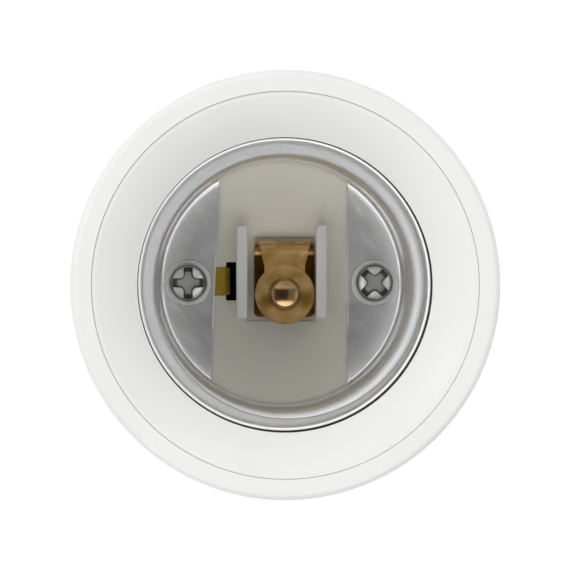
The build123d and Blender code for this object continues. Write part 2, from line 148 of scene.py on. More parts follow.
class SocketShellSizes(bpy.types.PropertyGroup):
    """Sizes of the drawn socket shell, with its radii measured inside."""

    wall: length("Wall", "Thickness of the drawn sheet", 0.45 * MM)
    major: length("Major radius", "Inside radius in the thread's valleys", shell_high.x - 0.45 * MM)
    minor: length("Minor radius", "Inside radius at the thread's crests", shell_high.x - 2.2 * MM)
    pitch: length("Pitch", "Rise of the thread in one turn", 6.35 * MM)
    turns: share("Turns", "Turns of the thread", 4.5)
    runout: share("Run-out", "Turns over which the thread fades at each end", 0.6)
    start: turn("Start", "Place of the thread's upper end round the axis", -115.0)
    heel: length("Heel", "Height of the shell's underside", shell_low.z)
    thread: length("Thread foot", "Height where the thread starts", shell_low.z + 5.0 * MM)
    top: length("Lip", "Height of the lip's edge", shell_high.z)
    corner: length("Corner", "Inside radius of the heel", 0.8 * MM)
    chord: length("Chord", "Distance of the segments' straight edges from the axis", 9.8 * MM)
    slant: turn("Slant", "Slant of the left straight edge", 2.6)
    screw_x: length("Screw place", "Distance of the screws from the axis", (screw_low.x + screw_high.x) / 2)
    hole: length("Screw hole", "Radius of the screw holes", 1.8 * MM)
    edge: length("Punched edge", "Rounding of the segments' punched edges", 0.06 * MM)
    margin: length("Window margin", "Heel left between the window and the wall", 0.1 * MM)
    lip: length("Lip rounding", "Rounding of the lip's inner edge", 0.36 * MM)
    tuck: length("Lip tuck", "How far the lip's edge is turned in", 0.02 * MM)
    tuck_height: length("Tuck height", "Height over which the lip is turned in", 1.8 * MM)
    lean: FloatVectorProperty(
        name="Lean", description="How far the lip stands off the axis", subtype="XYZ", unit="LENGTH",
        size=2, default=(-0.09 * MM, 0.09 * MM),
    )
    columns: count("Columns", "Points round the axis", 300)
    inside_rows: count("Inside rows", "Points up the wall's inside", 150)
    outside_rows: count("Outside rows", "Points down the wall's outside", 44)
    heel_rows: count("Heel rows", "Points round the heel", 10)
    lip_rows: count("Lip rows", "Points round each half of the lip", 12)
    plate_rows: count("Segment rows", "Points across a bottom segment", 24)
    plate_columns: count("Segment columns", "Points round a bottom segment", 360)


class BaseShellSizes(bpy.types.PropertyGroup):
    """Sizes of the rolled base shell, with its radii measured inside."""

    wall: length("Wall", "Thickness of the rolled sheet", 0.3 * MM)
    major: length("Major radius", "Inside radius under the thread's crests", base_high.x - 0.3 * MM)
    minor: length("Minor radius", "Inside radius under the thread's valleys", base_high.x - 1.35 * MM)
    pitch: length("Pitch", "Rise of the thread in one turn", 3.62 * MM)
    turns: share("Turns", "Turns of the thread", 4.5)
    runout: share("Run-out", "Turns over which the thread fades at each end", 0.6)
    start: turn("Start", "Place of the thread's upper end round the axis", 0.0)
    heel: length("Heel", "Height of the shell's underside", base_low.z)
    thread: length("Thread foot", "Height where the thread starts", base_low.z + 1.6 * MM)
    top: length("Skirt", "Height of the skirt's edge", base_high.z)
    corner: length("Corner", "Inside radius of the heel", 0.6 * MM)
    mouth: length("Mouth", "Radius of the hole for the insulator", 9.6 * MM)
    columns: count("Columns", "Points round the axis", 256)
    inside_rows: count("Inside rows", "Points down the wall's inside", 96)
    outside_rows: count("Outside rows", "Points up the wall's outside", 150)
    heel_rows: count("Heel rows", "Points round the heel", 10)
    lip_rows: count("Skirt rows", "Points round the skirt's edge", 10)
    plate_rows: count("Plate rows", "Points across the plate round the mouth", 6)


class ContactSizes(bpy.types.PropertyGroup):
    """Sizes of the folded contact spring."""

    middle: length("Middle", "Offset of the strip's middle along X", (strip_low.x + strip_high.x) / 2)
    thickness: length("Thickness", "Thickness of the strip", 0.5 * MM)
    leaf: length("Leaf width", "Width of the lower leaf", strip_high.x - strip_low.x)
    root: length("Root width", "Width of the tongue at the fold", 7.9 * MM)
    tongue: length("Tongue width", "Width of the tongue under the button", 6.0 * MM)
    taper: length("Taper", "Length over which the tongue narrows", 3.8 * MM)
    bend: length("Bend", "Inside radius of the fold", 1.7 * MM)
    ramp_rise: turn("Ramp rise", "Angle by which the ramp climbs from the fold", 9.0)
    ramp: length("Ramp", "Length of the ramp from the fold to the knee", 3.2 * MM)
    pad_rise: turn("Pad rise", "Angle by which the button's pad climbs", 1.5)
    pad: length("Pad", "Length of the pad from the knee to its end", 5.43 * MM)
    knee: length("Knee", "Length over which the knee bends", 0.6 * MM)
    corner: length("Corner", "Rounding of the leaf's corners", 0.8 * MM)
    edge: length("Edge", "Rounding of the strip's edges", 0.07 * MM)
    corner_rows: count("Corner rows", "Points along the leaf's rounded corners", 12)
    leaf_rows: count("Leaf rows", "Points along the leaf", 20)
    fold_rows: count("Fold rows", "Points round the fold", 64)
    tongue_rows: count("Tongue rows", "Points along the tongue", 72)
    edge_points: count("Edge points", "Points round each edge of the strip", 5)


class WearAndShadeSizes(bpy.types.PropertyGroup):
    """Places where the finishes and the painted shade change, as distances from a piece's own faces, and how
    worn they are.
    """

    cream_low: length("Cream from", "Height over the shell's foot where the cream starts to fade", 0.5 * MM)
    cream_high: length("Cream to", "Height over the shell's foot where the cream ends", 2.5 * MM)
    rib_low: length("Grey from", "Height over the shell's foot where the ribs' grey starts to fade", 10 * MM)
    rib_high: length("Grey to", "Height over the shell's foot where the ribs' grey ends", 30 * MM)
    rubbed: length("Rubbed rise", "Height over the shell's bottom where the rubbing ends", 0.3 * MM)
    recess: length("Recess reach", "Radius of the screws' recess", 2.65 * MM)
    # Painted shade on the spring's lower leaf, which lies under the tongue: where it fades out upwards and
    # where it ends at the fold.
    leaf_shade_low: length("Stain from", "Height over the leaf where its stain starts to fade", 0.2 * MM)
    leaf_shade_high: length("Stain to", "Height over the leaf where its stain ends", 0.9 * MM)
    leaf_shade_edge: length("Stain edge", "Length over which the stain ends at the fold", 0.15 * MM)
    nipple_low: length("Nipple from", "Depth under the button's tip where it starts to be bright", 0.6 * MM)
    nipple_high: length("Nipple to", "Depth under the button's tip where it is all bright", 0.35 * MM)
    nipple_rough: share("Nipple roughness", "Roughness of the button's bright tip", 0.16)
    # The same share darkens the painted shade on the button's flanks.
    film: share("Film", "Share of the tone that the brass's film and the button's patches keep", 0.6)


class FinishColours(bpy.types.PropertyGroup):
    """Colours of the adapter's pieces, and of the shade painted in the screws' recesses and on the spring's
    lower leaf.
    """

    casing: colour("Casing", "Moulded white of the casing", (0.86, 0.86, 0.85))
    insert: colour("Insert", "Off-white of the socket insert", (0.84, 0.84, 0.81))
    # The insert turns greyer towards the bottom of the socket, and paler and creamier on its floor.
    rib: colour("Ribs", "Greyer ribs of the socket insert", (0.75, 0.74, 0.705))
    cream: colour("Cream", "Creamier floor of the socket insert", (0.92, 0.885, 0.78))
    aluminium: colour("Aluminium", "Drawn shells", (0.92, 0.925, 0.93))
    dull: colour("Dull aluminium", "Rubbed bottom of the socket shell", (0.83, 0.83, 0.825))
    pit: colour("Pits", "Dark specks in the aluminium", (0.38, 0.37, 0.35))
    zinc: colour("Zinc", "Plated screws", (0.86, 0.86, 0.84))
    # Painted shade: dark grey laid on the screws' recess walls, where their shade falls.
    recess_shade: colour("Grime", "Grey film in the screws' recesses", (0.22, 0.22, 0.20))
    brass: colour("Brass", "Lead, terminal, rivet and base contact", (0.66, 0.44, 0.06))
    copper: colour("Copper", "Contact spring and button", (0.67, 0.42, 0.20))
    tarnish: colour("Tarnish", "Darker film on the copper", (0.38, 0.23, 0.04))
    # Painted shade: a near-black brown on the spring's lower leaf, in the tongue's shadow.
    leaf_shade: colour("Stain", "Dark stain on the contact spring's leaf", (0.16, 0.065, 0.01))
    sleeve: colour("Sleeve", "Silicone sleeve of the centre lead", (0.72, 0.71, 0.67))
    insulator: colour("Insulator", "Black insulator of the base", (0.015, 0.015, 0.017))
    solder: colour("Solder", "Solder on the tip", (0.55, 0.55, 0.55))
    floor: colour("Floor", "Pale floor", (0.45, 0.45, 0.45))


class StudioSettings(bpy.types.PropertyGroup):
    """Camera and light of the stage."""

    camera: FloatVectorProperty(
        name="Camera", description="Place of the camera", subtype="TRANSLATION",
        default=(-8.5 * MM, 5.2 * MM, 602.0 * MM),
    )
    target: FloatVectorProperty(
        name="Target", description="Point in the middle of the picture", subtype="TRANSLATION",
        default=(0.33 * MM, -0.36 * MM, 61.375 * MM),
    )
    focal: share("Focal length", "Focal length for a sensor 36 wide", 245.7)
    horizon: share("Horizon", "Light of the tent near the floor", 0.2)
    crown: share("Crown", "Light of the tent high over the part", 1.79)
    camera_side: share("Camera side", "Light of the tent's opening where the camera stands", 0.05)
    open_side: share("Open side", "Light of the opening beside the camera", 0.3)
    lean_x: share("Lean along X", "How much brighter the tent is towards +X", -0.31)
    lean_y: share("Lean along Y", "How much brighter the tent is towards +Y", 0.52)
    front: share("Front panel", "How much brighter the tent's top is towards -Y", 2.1)
    glow: share("Floor glow", "Light that the floor gives off", 0.6)
    floor_size: length("Floor size", "Side of the square floor", 30.0)


def ease(part):
    """Smooth step: 3 t squared minus 2 t cubed, held between 0 and 1."""
    part = np.clip(part, 0.0, 1.0)
    return part * part * (3 - 2 * part)


def around(sizes):
    """Angles of a shell's columns, from the +X side round to it again."""
    return np.linspace(0.0, FULL_TURN, sizes.columns + 1)


def polar(radius, angle, height, middle=0.0):
    """Points round an upright axis at X = middle: radius times cosine, radius times sine, and height."""
    level = np.broadcast_to(height, radius.shape)
    return np.stack([middle + radius * np.cos(angle), radius * np.sin(angle), level], -1)


def rolled_radius(angle, height, sizes):
    """Inside radius of a rolled knuckle thread at each angle and height.

    The thread's profile is a chain of equal circle arcs, bulging in and out by turns, which climbs one
    pitch in a turn. Its depth fades to nothing at both ends, to the minor radius below and the major above.
    """
    low = sizes.thread
    high = low + sizes.turns * sizes.pitch
    runout = sizes.runout * sizes.pitch
    strength = ease((height - low) / runout) * ease((high - height) / runout)
    plain = np.where(height < (low + high) / 2, sizes.minor, sizes.major)
    middle = (sizes.minor + sizes.major) / 2
    half_depth = (sizes.major - sizes.minor) / 2
    quarter = sizes.pitch / 4
    arc = (quarter ** 2 + half_depth ** 2) / (2 * half_depth)
    turned = (angle - sizes.start) / FULL_TURN - 0.5 - (height - high + runout / 2) / sizes.pitch
    away = np.abs(turned - np.round(turned)) * sizes.pitch
    valley = away < quarter
    from_middle = np.where(valley, away, 2 * quarter - away)
    bulge = half_depth - arc + np.sqrt(arc ** 2 - from_middle ** 2)
    wave = np.where(valley, bulge, -bulge)
    return plain + (middle - plain + wave) * strength


def carried_round(height, shift, sizes):
    """Closed wall: a closed profile of heights and shifts from the thread's radius, carried round the axis.

    The second array holds the distance round the axis and the distance along the profile.
    """
    angle = around(sizes)
    points = polar(rolled_radius(angle, height, sizes) + shift, angle, height)
    loop = np.append(np.arange(len(height)), 0)
    steps = np.hypot(np.diff(height[loop, 0]), np.diff(shift[loop, 0]))
    along = np.append(0.0, np.cumsum(steps))
    skin = np.stack(np.meshgrid(along, angle * sizes.major, indexing="ij")[::-1], -1)
    return points[:, :-1], skin


def chord_reach(angle, sizes):
    """Distance from the axis to the straight edge of the segment on each angle's side.

    It is the edge's distance over the angle's cosine, and on the left the cosine has the slant's share added.
    """
    right = np.cos(angle)
    left = math.tan(sizes.slant) * np.sin(angle) - right
    return sizes.chord / np.maximum(np.where(right > 0, right, left), LEAST_SLOPE)


def heel_arc(radius, cut, rows):
    """Angles of a heel's arc on each column, in even steps from its cut edge to the upright wall."""
    first = np.arcsin(np.clip(cut / radius, 0.0, 1.0))
    return first + (QUARTER_TURN - first) * np.linspace(0.0, 1.0, rows)[:, None]


def socket_wall(sizes):
    """Closed wall of the socket shell: a profile carried round the axis, and leaned evenly with its height.

    The profile starts at the bottom's cut edge, follows the heel's inner arc and the thread up to the lip,
    goes over the lip's two quarter rounds, and comes down the outside to the heel's outer arc. The lip is
    tucked in by an eased step below its edge.
    """
    foot_radius = sizes.minor - sizes.corner
    window = sizes.minor - sizes.margin
    cut = np.clip(chord_reach(around(sizes), sizes), foot_radius, window) - foot_radius
    outer = sizes.corner + sizes.wall
    inner_heel = heel_arc(sizes.corner, cut, sizes.heel_rows)
    outer_heel = heel_arc(outer, cut, sizes.heel_rows)[::-1]
    lip = np.linspace(0.0, QUARTER_TURN, sizes.lip_rows)[:, None]
    foot = sizes.heel + outer
    edge = sizes.top - sizes.lip
    back = sizes.wall - sizes.lip
    level = np.ones_like(cut)
    inside = np.linspace(foot, edge, sizes.inside_rows)[1:-1, None] * level
    outside = np.linspace(sizes.top - back, foot, sizes.outside_rows)[1:-1, None] * level
    height = np.concatenate([
        foot - sizes.corner * np.cos(inner_heel),
        inside,
        (edge + sizes.lip * np.sin(lip)) * level,
        (sizes.top - back * (1 - np.cos(lip[1:]))) * level,
        outside,
        foot - outer * np.cos(outer_heel),
    ])
    shift = np.concatenate([
        sizes.corner * (np.sin(inner_heel) - 1),
        np.zeros_like(inside),
        sizes.lip * (1 - np.cos(lip)) * level,
        (sizes.lip + back * np.sin(lip[1:])) * level,
        np.full_like(outside, sizes.wall),
        outer * np.sin(outer_heel) - sizes.corner,
    ])
    shift -= sizes.tuck * ease((height - sizes.top) / sizes.tuck_height + 1)
    wall, skin = carried_round(height, shift, sizes)
    lifted = (wall[..., 2:] - sizes.heel) / (sizes.top - sizes.heel)
    wall[..., :2] += np.array(sizes.lean) * lifted
    return wall, skin


def base_wall(sizes):
    """Closed wall of the base shell: a profile carried round the axis.

    The profile starts at the mouth, follows the plate's underside and the heel's outer arc, climbs the
    outside of the thread, goes over the skirt's half round, and comes down the inside to the plate's top.
    """
    heel = np.linspace(0.0, QUARTER_TURN, sizes.heel_rows)
    lip = np.linspace(0.0, math.pi, sizes.lip_rows)
    outer = sizes.corner + sizes.wall
    foot = sizes.heel + outer
    half = sizes.wall / 2
    edge = sizes.top - half
    plate = np.linspace(sizes.mouth - sizes.minor, -sizes.corner, sizes.plate_rows)[:-1]
    inside = np.linspace(edge, foot, sizes.inside_rows)[1:-1]
    outside = np.linspace(foot, edge, sizes.outside_rows)[1:-1]
    height = np.concatenate([
        np.full_like(plate, sizes.heel),
        sizes.heel + outer * (1 - np.cos(heel)),
        outside,
        edge + half * np.sin(lip),
        inside,
        sizes.heel + sizes.wall + sizes.corner * (1 - np.cos(heel[::-1])),
        np.full_like(plate, sizes.heel + sizes.wall),
    ])
    shift = np.concatenate([
        plate,
        outer * np.sin(heel) - sizes.corner,
        np.full_like(outside, sizes.wall),
        half * (1 + np.cos(lip)),
        np.zeros_like(inside),
        sizes.corner * (np.sin(heel[::-1]) - 1),
        plate[::-1],
    ])
    return carried_round(height[:, None], shift[:, None], sizes)


def chord_plate(side, sizes):
    """Closed plate of one bottom segment, as rays from the screw's middle.

    Each ray runs from the screw hole to the nearer of the straight edge and the heel's circle, and the
    plate's section, with its punched edge rounded, is carried round all the rays.
    """
    middle = side * sizes.screw_x
    rim = sizes.minor - sizes.corner + sizes.edge
    tilt = math.tan(sizes.slant) if side < 0 else 0.0
    angle = np.linspace(0.0, FULL_TURN, sizes.plate_columns + 1)
    across, along = np.cos(angle), np.sin(angle)
    to_circle = np.sqrt((middle * across) ** 2 - middle ** 2 + rim ** 2) - middle * across
    with np.errstate(divide="ignore"):
        to_chord = (side * sizes.chord - middle) / (across - tilt * along)
    reach = np.minimum(to_circle, np.where(to_chord > 0, to_chord, np.inf))
    top, low = sizes.heel + sizes.wall, sizes.heel
    inset = sizes.edge * PUNCHED_ROUND[::-1]
    drop = sizes.edge * PUNCHED_ROUND
    spread = np.linspace(0.0, 1.0, sizes.plate_rows)[:, None]
    span = reach - inset[0] - sizes.hole
    ray = np.concatenate([
        sizes.hole + span * spread,
        reach - inset[1:, None],
        reach[None, :],
        np.full((1, len(angle)), sizes.hole),
    ])
    height = np.concatenate([np.full(sizes.plate_rows, top), top - drop[1:], [low, low]])
    points = polar(ray, angle, height[:, None], middle)
    skin = np.concatenate([points, points[:1]])[..., :2]
    return points[:, :-1], skin


def strip_sections(sizes):
    """Folded strip: a rounded rectangle carried along the leaf, the fold's arc, the ramp and the pad.

    The path is given by its heading, which turns evenly round the fold and back at the knee, and is summed
    along its length. The section's half width is rounded at the leaf's end, full on the leaf and half of
    the fold, eased to the tongue's root and then narrowed in a straight taper.
    """
    half = sizes.thickness / 2
    radius = sizes.bend + half
    fold_turn = math.pi - sizes.ramp_rise
    leaf_length = strip_high.y - sizes.bend - sizes.thickness - strip_low.y
    arc_length = radius * fold_turn
    knee_run = leaf_length + arc_length + sizes.ramp
    run = np.concatenate([
        np.linspace(0.0, sizes.corner, sizes.corner_rows, endpoint=False),
        np.linspace(sizes.corner, leaf_length, sizes.leaf_rows, endpoint=False),
        leaf_length + np.linspace(0.0, arc_length, sizes.fold_rows, endpoint=False),
        np.linspace(leaf_length + arc_length, knee_run + sizes.pad, sizes.tongue_rows),
    ])
    bent = np.clip((run - leaf_length) / radius, 0.0, fold_turn)
    bent += (sizes.ramp_rise - sizes.pad_rise) * ease((run - knee_run) / sizes.knee + 0.5)
    heading_y, heading_z = np.cos(bent), np.sin(bent)
    steps = np.diff(run)
    middle_y = strip_low.y + np.append(0.0, np.cumsum(steps * (heading_y[1:] + heading_y[:-1]) / 2))
    middle_z = strip_low.z + half + np.append(0.0, np.cumsum(steps * (heading_z[1:] + heading_z[:-1]) / 2))
    lower = bent < QUARTER_TURN
    to_fold = strip_high.y - middle_y
    from_end = np.minimum(run, np.where(lower, to_fold, sizes.corner))
    near_end = np.clip(1 - from_end / sizes.corner, 0.0, 1.0)
    leaf_width = sizes.leaf / 2 - sizes.corner * (1 - np.sqrt(1 - near_end ** 2))
    tapered = np.clip(to_fold / sizes.taper, 0.0, 1.0)
    tongue_width = (sizes.root - tapered * (sizes.root - sizes.tongue)) / 2
    fold_width = np.where(run > leaf_length, np.maximum(leaf_width, sizes.root / 2), leaf_width)
    width = np.where(lower, fold_width, tongue_width)
    quarter = np.linspace(0.0, QUARTER_TURN, sizes.edge_points)
    loop_angle = np.concatenate([quarter + k * QUARTER_TURN for k in range(4)])
    sign_x = np.repeat([1.0, -1.0, -1.0, 1.0], sizes.edge_points)
    sign_n = np.repeat([1.0, 1.0, -1.0, -1.0], sizes.edge_points)
    side = sign_x * (width[:, None] - sizes.edge) + sizes.edge * np.cos(loop_angle)
    lift = sign_n * (half - sizes.edge) + sizes.edge * np.sin(loop_angle)
    return np.stack([
        sizes.middle + side,
        middle_y[:, None] - lift * heading_z[:, None],
        middle_z[:, None] + lift * heading_y[:, None],
    ], -1)


def ring_faces(rows, columns):
    """Faces of a grid that closes on itself in both directions."""
    row = np.arange(rows)[:, None]
    column = np.arange(columns)[None, :]
    here, after = row * columns, (row + 1) % rows * columns
    beside = (column + 1) % columns
    corners = [here + column, here + beside, after + beside, after + column]
    return np.stack(np.broadcast_arrays(*corners), -1).reshape(-1, 4)


def ring_skin(skin):
    """Surface coordinates at the four corners of each face of a closed grid."""
    corners = [skin[:-1, :-1], skin[:-1, 1:], skin[1:, 1:], skin[1:, :-1]]
    return np.stack(corners, -2).reshape(-1, 4, 2)


def faces_outwards(points, faces):
    """True if the faces enclose a positive volume: the sum of each corner's triple product."""
    a, b, c, d = (points[faces[:, k]] for k in range(4))
    volume = np.einsum("ij,ij->i", a, np.cross(b, c)) + np.einsum("ij,ij->i", a, np.cross(c, d))
    return volume.sum() > 0


def new_piece(name, points, faces):
    """One object from points and faces, smooth up to the sharp angle."""
    mesh = bpy.data.meshes.new(name)
    mesh.from_pydata(points, [], faces)
    mesh.shade_smooth()
    mesh.set_sharp_from_angle(angle=SHARP_ANGLE)
    piece = bpy.data.objects.new(name, mesh)
    bpy.context.scene.collection.objects.link(piece)
    return piece


def shell_piece(name, grids):
    """One object from closed grids with surface coordinates, with its faces turned outwards."""
    points, faces, skins, first = [], [], [], 0
    for grid, skin in grids:
        flat = grid.reshape(-1, 3)
        quads = ring_faces(*grid.shape[:2])
        corner_skin = ring_skin(skin)
        if not faces_outwards(flat, quads):
            quads = quads[:, ::-1]
            corner_skin = corner_skin[:, ::-1]
        points.append(flat)
        faces.append(quads + first)
        skins.append(corner_skin)
        first += len(flat)
    piece = new_piece(name, np.concatenate(points).tolist(), np.concatenate(faces).tolist())
    layer = piece.data.uv_layers.new(name="skin")
    layer.data.foreach_set("uv", np.concatenate(skins).reshape(-1).astype(np.float32))
    return piece


def strip_piece(name, sections):
    """One object from sections along a path, closed round each section and capped at both ends."""
    rows, columns = sections.shape[:2]
    last = (rows - 1) * columns
    quads = ring_faces(rows, columns)[:last]
    flat = sections.reshape(-1, 3)
    caps = [list(range(columns))[::-1], list(range(last, last + columns))]
    if not faces_outwards(flat, quads):
        quads = quads[:, ::-1]
        caps = [cap[::-1] for cap in caps]
    return new_piece(name, flat.tolist(), quads.tolist() + caps)


class Graph:
    """A node tree that is filled from empty."""

    def __init__(self, tree):
        self.tree = tree
        tree.nodes.clear()

    def feed(self, socket, value):
        """Links a node's input to another node's output, or sets it to a value."""
        if isinstance(value, bpy.types.NodeSocket):
            self.tree.links.new(value, socket)
        else:
            socket.default_value = value

    def node(self, kind, inputs=None, **settings):
        """A node with its settings and inputs, where an input is a value or another node's output."""
        made = self.tree.nodes.new(kind)
        for key, value in settings.items():
            setattr(made, key, value)
        for key, value in (inputs or {}).items():
            self.feed(made.inputs[key], value)
        return made

    def math(self, operation, first, second=0.0):
        """One sum on two values."""
        return self.node("ShaderNodeMath", {0: first, 1: second}, operation=operation).outputs[0]

    def plus(self, first, second):
        """The first value with the second added."""
        return self.math("ADD", first, second)

    def minus(self, first, second):
        """The first value less the second."""
        return self.math("SUBTRACT", first, second)

    def times(self, first, second):
        """The first value multiplied by the second."""
        return self.math("MULTIPLY", first, second)

    def ramp(self, value, low, high, at_low=0.0, at_high=1.0, shape="LINEAR"):
        """A value carried from one range to another and held within it."""
        ends = {"From Min": low, "From Max": high, "To Min": at_low, "To Max": at_high}
        made = self.node("ShaderNodeMapRange", {"Value": value, **ends}, interpolation_type=shape)
        return made.outputs["Result"]

    def ease(self, value, span, at_low=0.0, at_high=1.0):
        """A value carried over a span to another range in a smooth step."""
        return self.ramp(value, *span, at_low, at_high, shape="SMOOTHSTEP")


class Finish(Graph):
    """One procedural finish: a shader, its output and the nodes that give it detail."""

    def __init__(self, name, base, roughness, metallic=0.0, uv=False):
        self.material = bpy.data.materials.new(name)
        self.material.use_nodes = True
        super().__init__(self.material.node_tree)
        self.shader = self.node("ShaderNodeBsdfPrincipled")
        self.node("ShaderNodeOutputMaterial", {"Surface": self.shader.outputs["BSDF"]})
        self.set("Base Color", (*base, 1.0))
        self.set("Roughness", roughness)
        self.set("Metallic", metallic)
        if uv:
            self.place = self.node("ShaderNodeUVMap", uv_map="skin").outputs["UV"]
        else:
            self.place = self.node("ShaderNodeTexCoord").outputs["Object"]

    def set(self, key, value):
        """Sets or links one of the shader's inputs."""
        self.feed(self.shader.inputs[key], value)

    def level(self, axis="Z"):
        """The surface's height, or its place along another axis, in the part's frame."""
        place = self.node("ShaderNodeTexCoord").outputs["Object"]
        return self.node("ShaderNodeSeparateXYZ", {0: place}).outputs[axis]

    def vector(self, operation, first, second=(0.0, 0.0, 0.0), output="Vector"):
        """One sum on two places."""
        made = self.node("ShaderNodeVectorMath", {0: first, 1: second}, operation=operation)
        return made.outputs[output]

    def away(self, place, x, y):
        """How far a place is from an upright axis: its distance once its height is dropped."""
        flat = self.vector("MULTIPLY", place, (1.0, 1.0, 0.0))
        return self.vector("DISTANCE", flat, (x, y, 0.0), output="Value")

    def stretched(self, scale, turned=0.0):
        """The surface's place, first turned and then scaled along each axis."""
        return self.node(
            "ShaderNodeMapping",
            {"Vector": self.place, "Rotation": (0.0, 0.0, turned), "Scale": tuple(1 / s for s in scale)},
            vector_type="TEXTURE",
        ).outputs["Vector"]

    def noise(self, scale, detail=3.0, place=None):
        """Soft noise between 0 and 1."""
        inputs = {"Vector": place or self.place, "Scale": scale, "Detail": detail}
        return self.node("ShaderNodeTexNoise", inputs).outputs["Fac"]

    def lines(self, scale, detail, turned=0.0):
        """Soft noise drawn out into lines, with a scale along each axis."""
        return self.noise(1.0, detail, self.stretched(scale, turned))

    def spots(self, scale, size, place=None):
        """1 inside small round spots and 0 outside them."""
        inputs = {"Vector": place or self.place, "Scale": scale}
        return self.ramp(self.node("ShaderNodeTexVoronoi", inputs).outputs["Distance"], 0.0, size, 1.0, 0.0)

    def scratches(self, scale, size, turned):
        """1 on thin straight scratches, which are spots in a stretched place, and 0 between them."""
        return self.spots(1.0, size, self.stretched(scale, turned))

    def blend(self, factor, first, second):
        """A colour between two others."""
        made = self.node("ShaderNodeMix", {"Factor": factor}, data_type="RGBA")
        for key, value in zip(MIX_COLOURS, (first, second)):
            linked = isinstance(value, bpy.types.NodeSocket)
            self.feed(made.inputs[key], value if linked else (*value, 1.0))
        return made.outputs[MIX_RESULT]

    def bump(self, height, strength, distance):
        """Gives the shader a surface relief."""
        made = self.node("ShaderNodeBump", {"Height": height, "Strength": strength, "Distance": distance})
        self.set("Normal", made.outputs["Normal"])


def shaded(tone, factor):
    """A tone made darker or lighter by a factor."""
    return tuple(factor * c for c in tone)


def moulded_finish(name, base, layers=()):
    """Satin moulded plastic: faint flow marks, a fine grain, hairline scuffs and other tones lower down.

    A layer is given as the heights between which it fades upwards, and its tone.
    """
    finish = Finish(name, base, roughness=0.42)
    flow = finish.noise(scale=60.0, detail=2.0)
    grain = finish.noise(scale=4200.0, detail=2.0)
    scuff = finish.scratches(scale=(70.0, 1500.0, 300.0), size=0.12, turned=0.6)
    tone = finish.blend(finish.ramp(flow, 0.3, 0.7), base, shaded(base, 0.965))
    for low, high, other in layers:
        tone = finish.blend(finish.ramp(finish.level(), low, high, 1.0, 0.0), tone, other)
    rough = finish.ramp(flow, 0.3, 0.7, 0.38, 0.47)
    finish.set("Base Color", tone)
    finish.set("Roughness", finish.plus(rough, finish.times(scuff, 0.08)))
    finish.bump(finish.minus(grain, finish.times(scuff, 0.4)), strength=0.06, distance=0.02 * MM)
    finish.set("IOR", 1.5)
    return finish


def drawn_finish(name, base, pit, bottom=None):
    """Drawn aluminium: fine lines along the drawing, small pits, cloudy patches and hair scratches.

    A bottom is given as the heights between which it ends, and its tone. It is smoother there, without
    drawing lines, and scuffed.
    """
    finish = Finish(name, base, roughness=0.3, metallic=1.0, uv=True)
    drawing = finish.lines(scale=(90.0, 2400.0, 1.0), detail=2.0)
    cloud = finish.noise(scale=300.0)
    pitted = finish.ramp(finish.noise(scale=500.0), 0.5, 0.62)
    pits = finish.times(finish.spots(scale=2400.0, size=0.24), pitted)
    hair = finish.scratches(scale=(130.0, 3200.0, 1.0), size=0.2, turned=-0.5)
    worn = finish.blend(finish.ramp(cloud, 0.35, 0.7, 0.0, 0.3), base, shaded(base, 0.9))
    rough = finish.ramp(cloud, 0.3, 0.7, 0.36, 0.44)
    if bottom:
        low, high, dull = bottom
        rubbed = finish.ramp(finish.level(), low, high, 1.0, 0.0)
        scuff = finish.lines(scale=(170.0, 1000.0, 1.0), detail=2.0, turned=-0.9)
        streak = finish.times(finish.ramp(scuff, 0.5, 0.72), finish.ramp(cloud, 0.4, 0.6, 0.2, 1.0))
        dulled = finish.blend(finish.ramp(cloud, 0.3, 0.7), dull, shaded(dull, 0.88))
        dulled = finish.blend(streak, dulled, shaded(dull, 1.12))
        worn = finish.blend(rubbed, worn, dulled)
        rough = finish.minus(rough, finish.times(rubbed, 0.08))
        kept = finish.minus(1.0, rubbed)
        pits, hair, drawing = (finish.times(mark, kept) for mark in (pits, hair, drawing))
    relief = finish.plus(finish.times(drawing, 0.6), finish.times(hair, -0.7))
    finish.set("Base Color", finish.blend(finish.times(pits, 0.8), worn, pit))
    finish.set("Roughness", finish.plus(rough, finish.times(pits, 0.2)))
    finish.bump(finish.minus(relief, pits), strength=0.4, distance=0.03 * MM)
    return finish


def plated_finish(name, base, recess_shade, middle, reach):
    """Zinc plate on a formed head: faintly mottled grey, fine pits and painted shade in the recess, fainter
    outside it.

    The recess is what lies within a reach of the screw's axis, below the middle of the head's top. Both
    screws share the finish, so the place is mirrored to the right.
    """
    finish = Finish(name, base, roughness=0.4, metallic=1.0)
    x, y, top = middle
    mottle = finish.noise(scale=500.0)
    pits = finish.spots(scale=2600.0, size=0.12)
    plate = finish.blend(finish.ramp(mottle, 0.35, 0.65), base, shaded(base, 0.93))
    # Painted shade: full on the recess's walls below the rim, half on its floor, and faint on the head
    # outside the recess.
    radius = finish.away(finish.vector("ABSOLUTE", finish.place), x, y)
    depth = finish.minus(top, finish.level())
    below_rim = finish.ramp(depth, 0.25 * MM, 0.6 * MM)
    above_floor = finish.ramp(depth, 1.4 * MM, 1.68 * MM, 1.0, 0.5)
    within = finish.ramp(radius, reach, reach + 0.1 * MM, 1.0, 0.15)
    film = finish.times(finish.times(below_rim, above_floor), within)
    finish.set("Base Color", finish.blend(film, plate, recess_shade))
    finish.set("Roughness", finish.ramp(mottle, 0.3, 0.7, 0.38, 0.46))
    finish.bump(finish.minus(mottle, pits), strength=0.03, distance=0.006 * MM)
    return finish


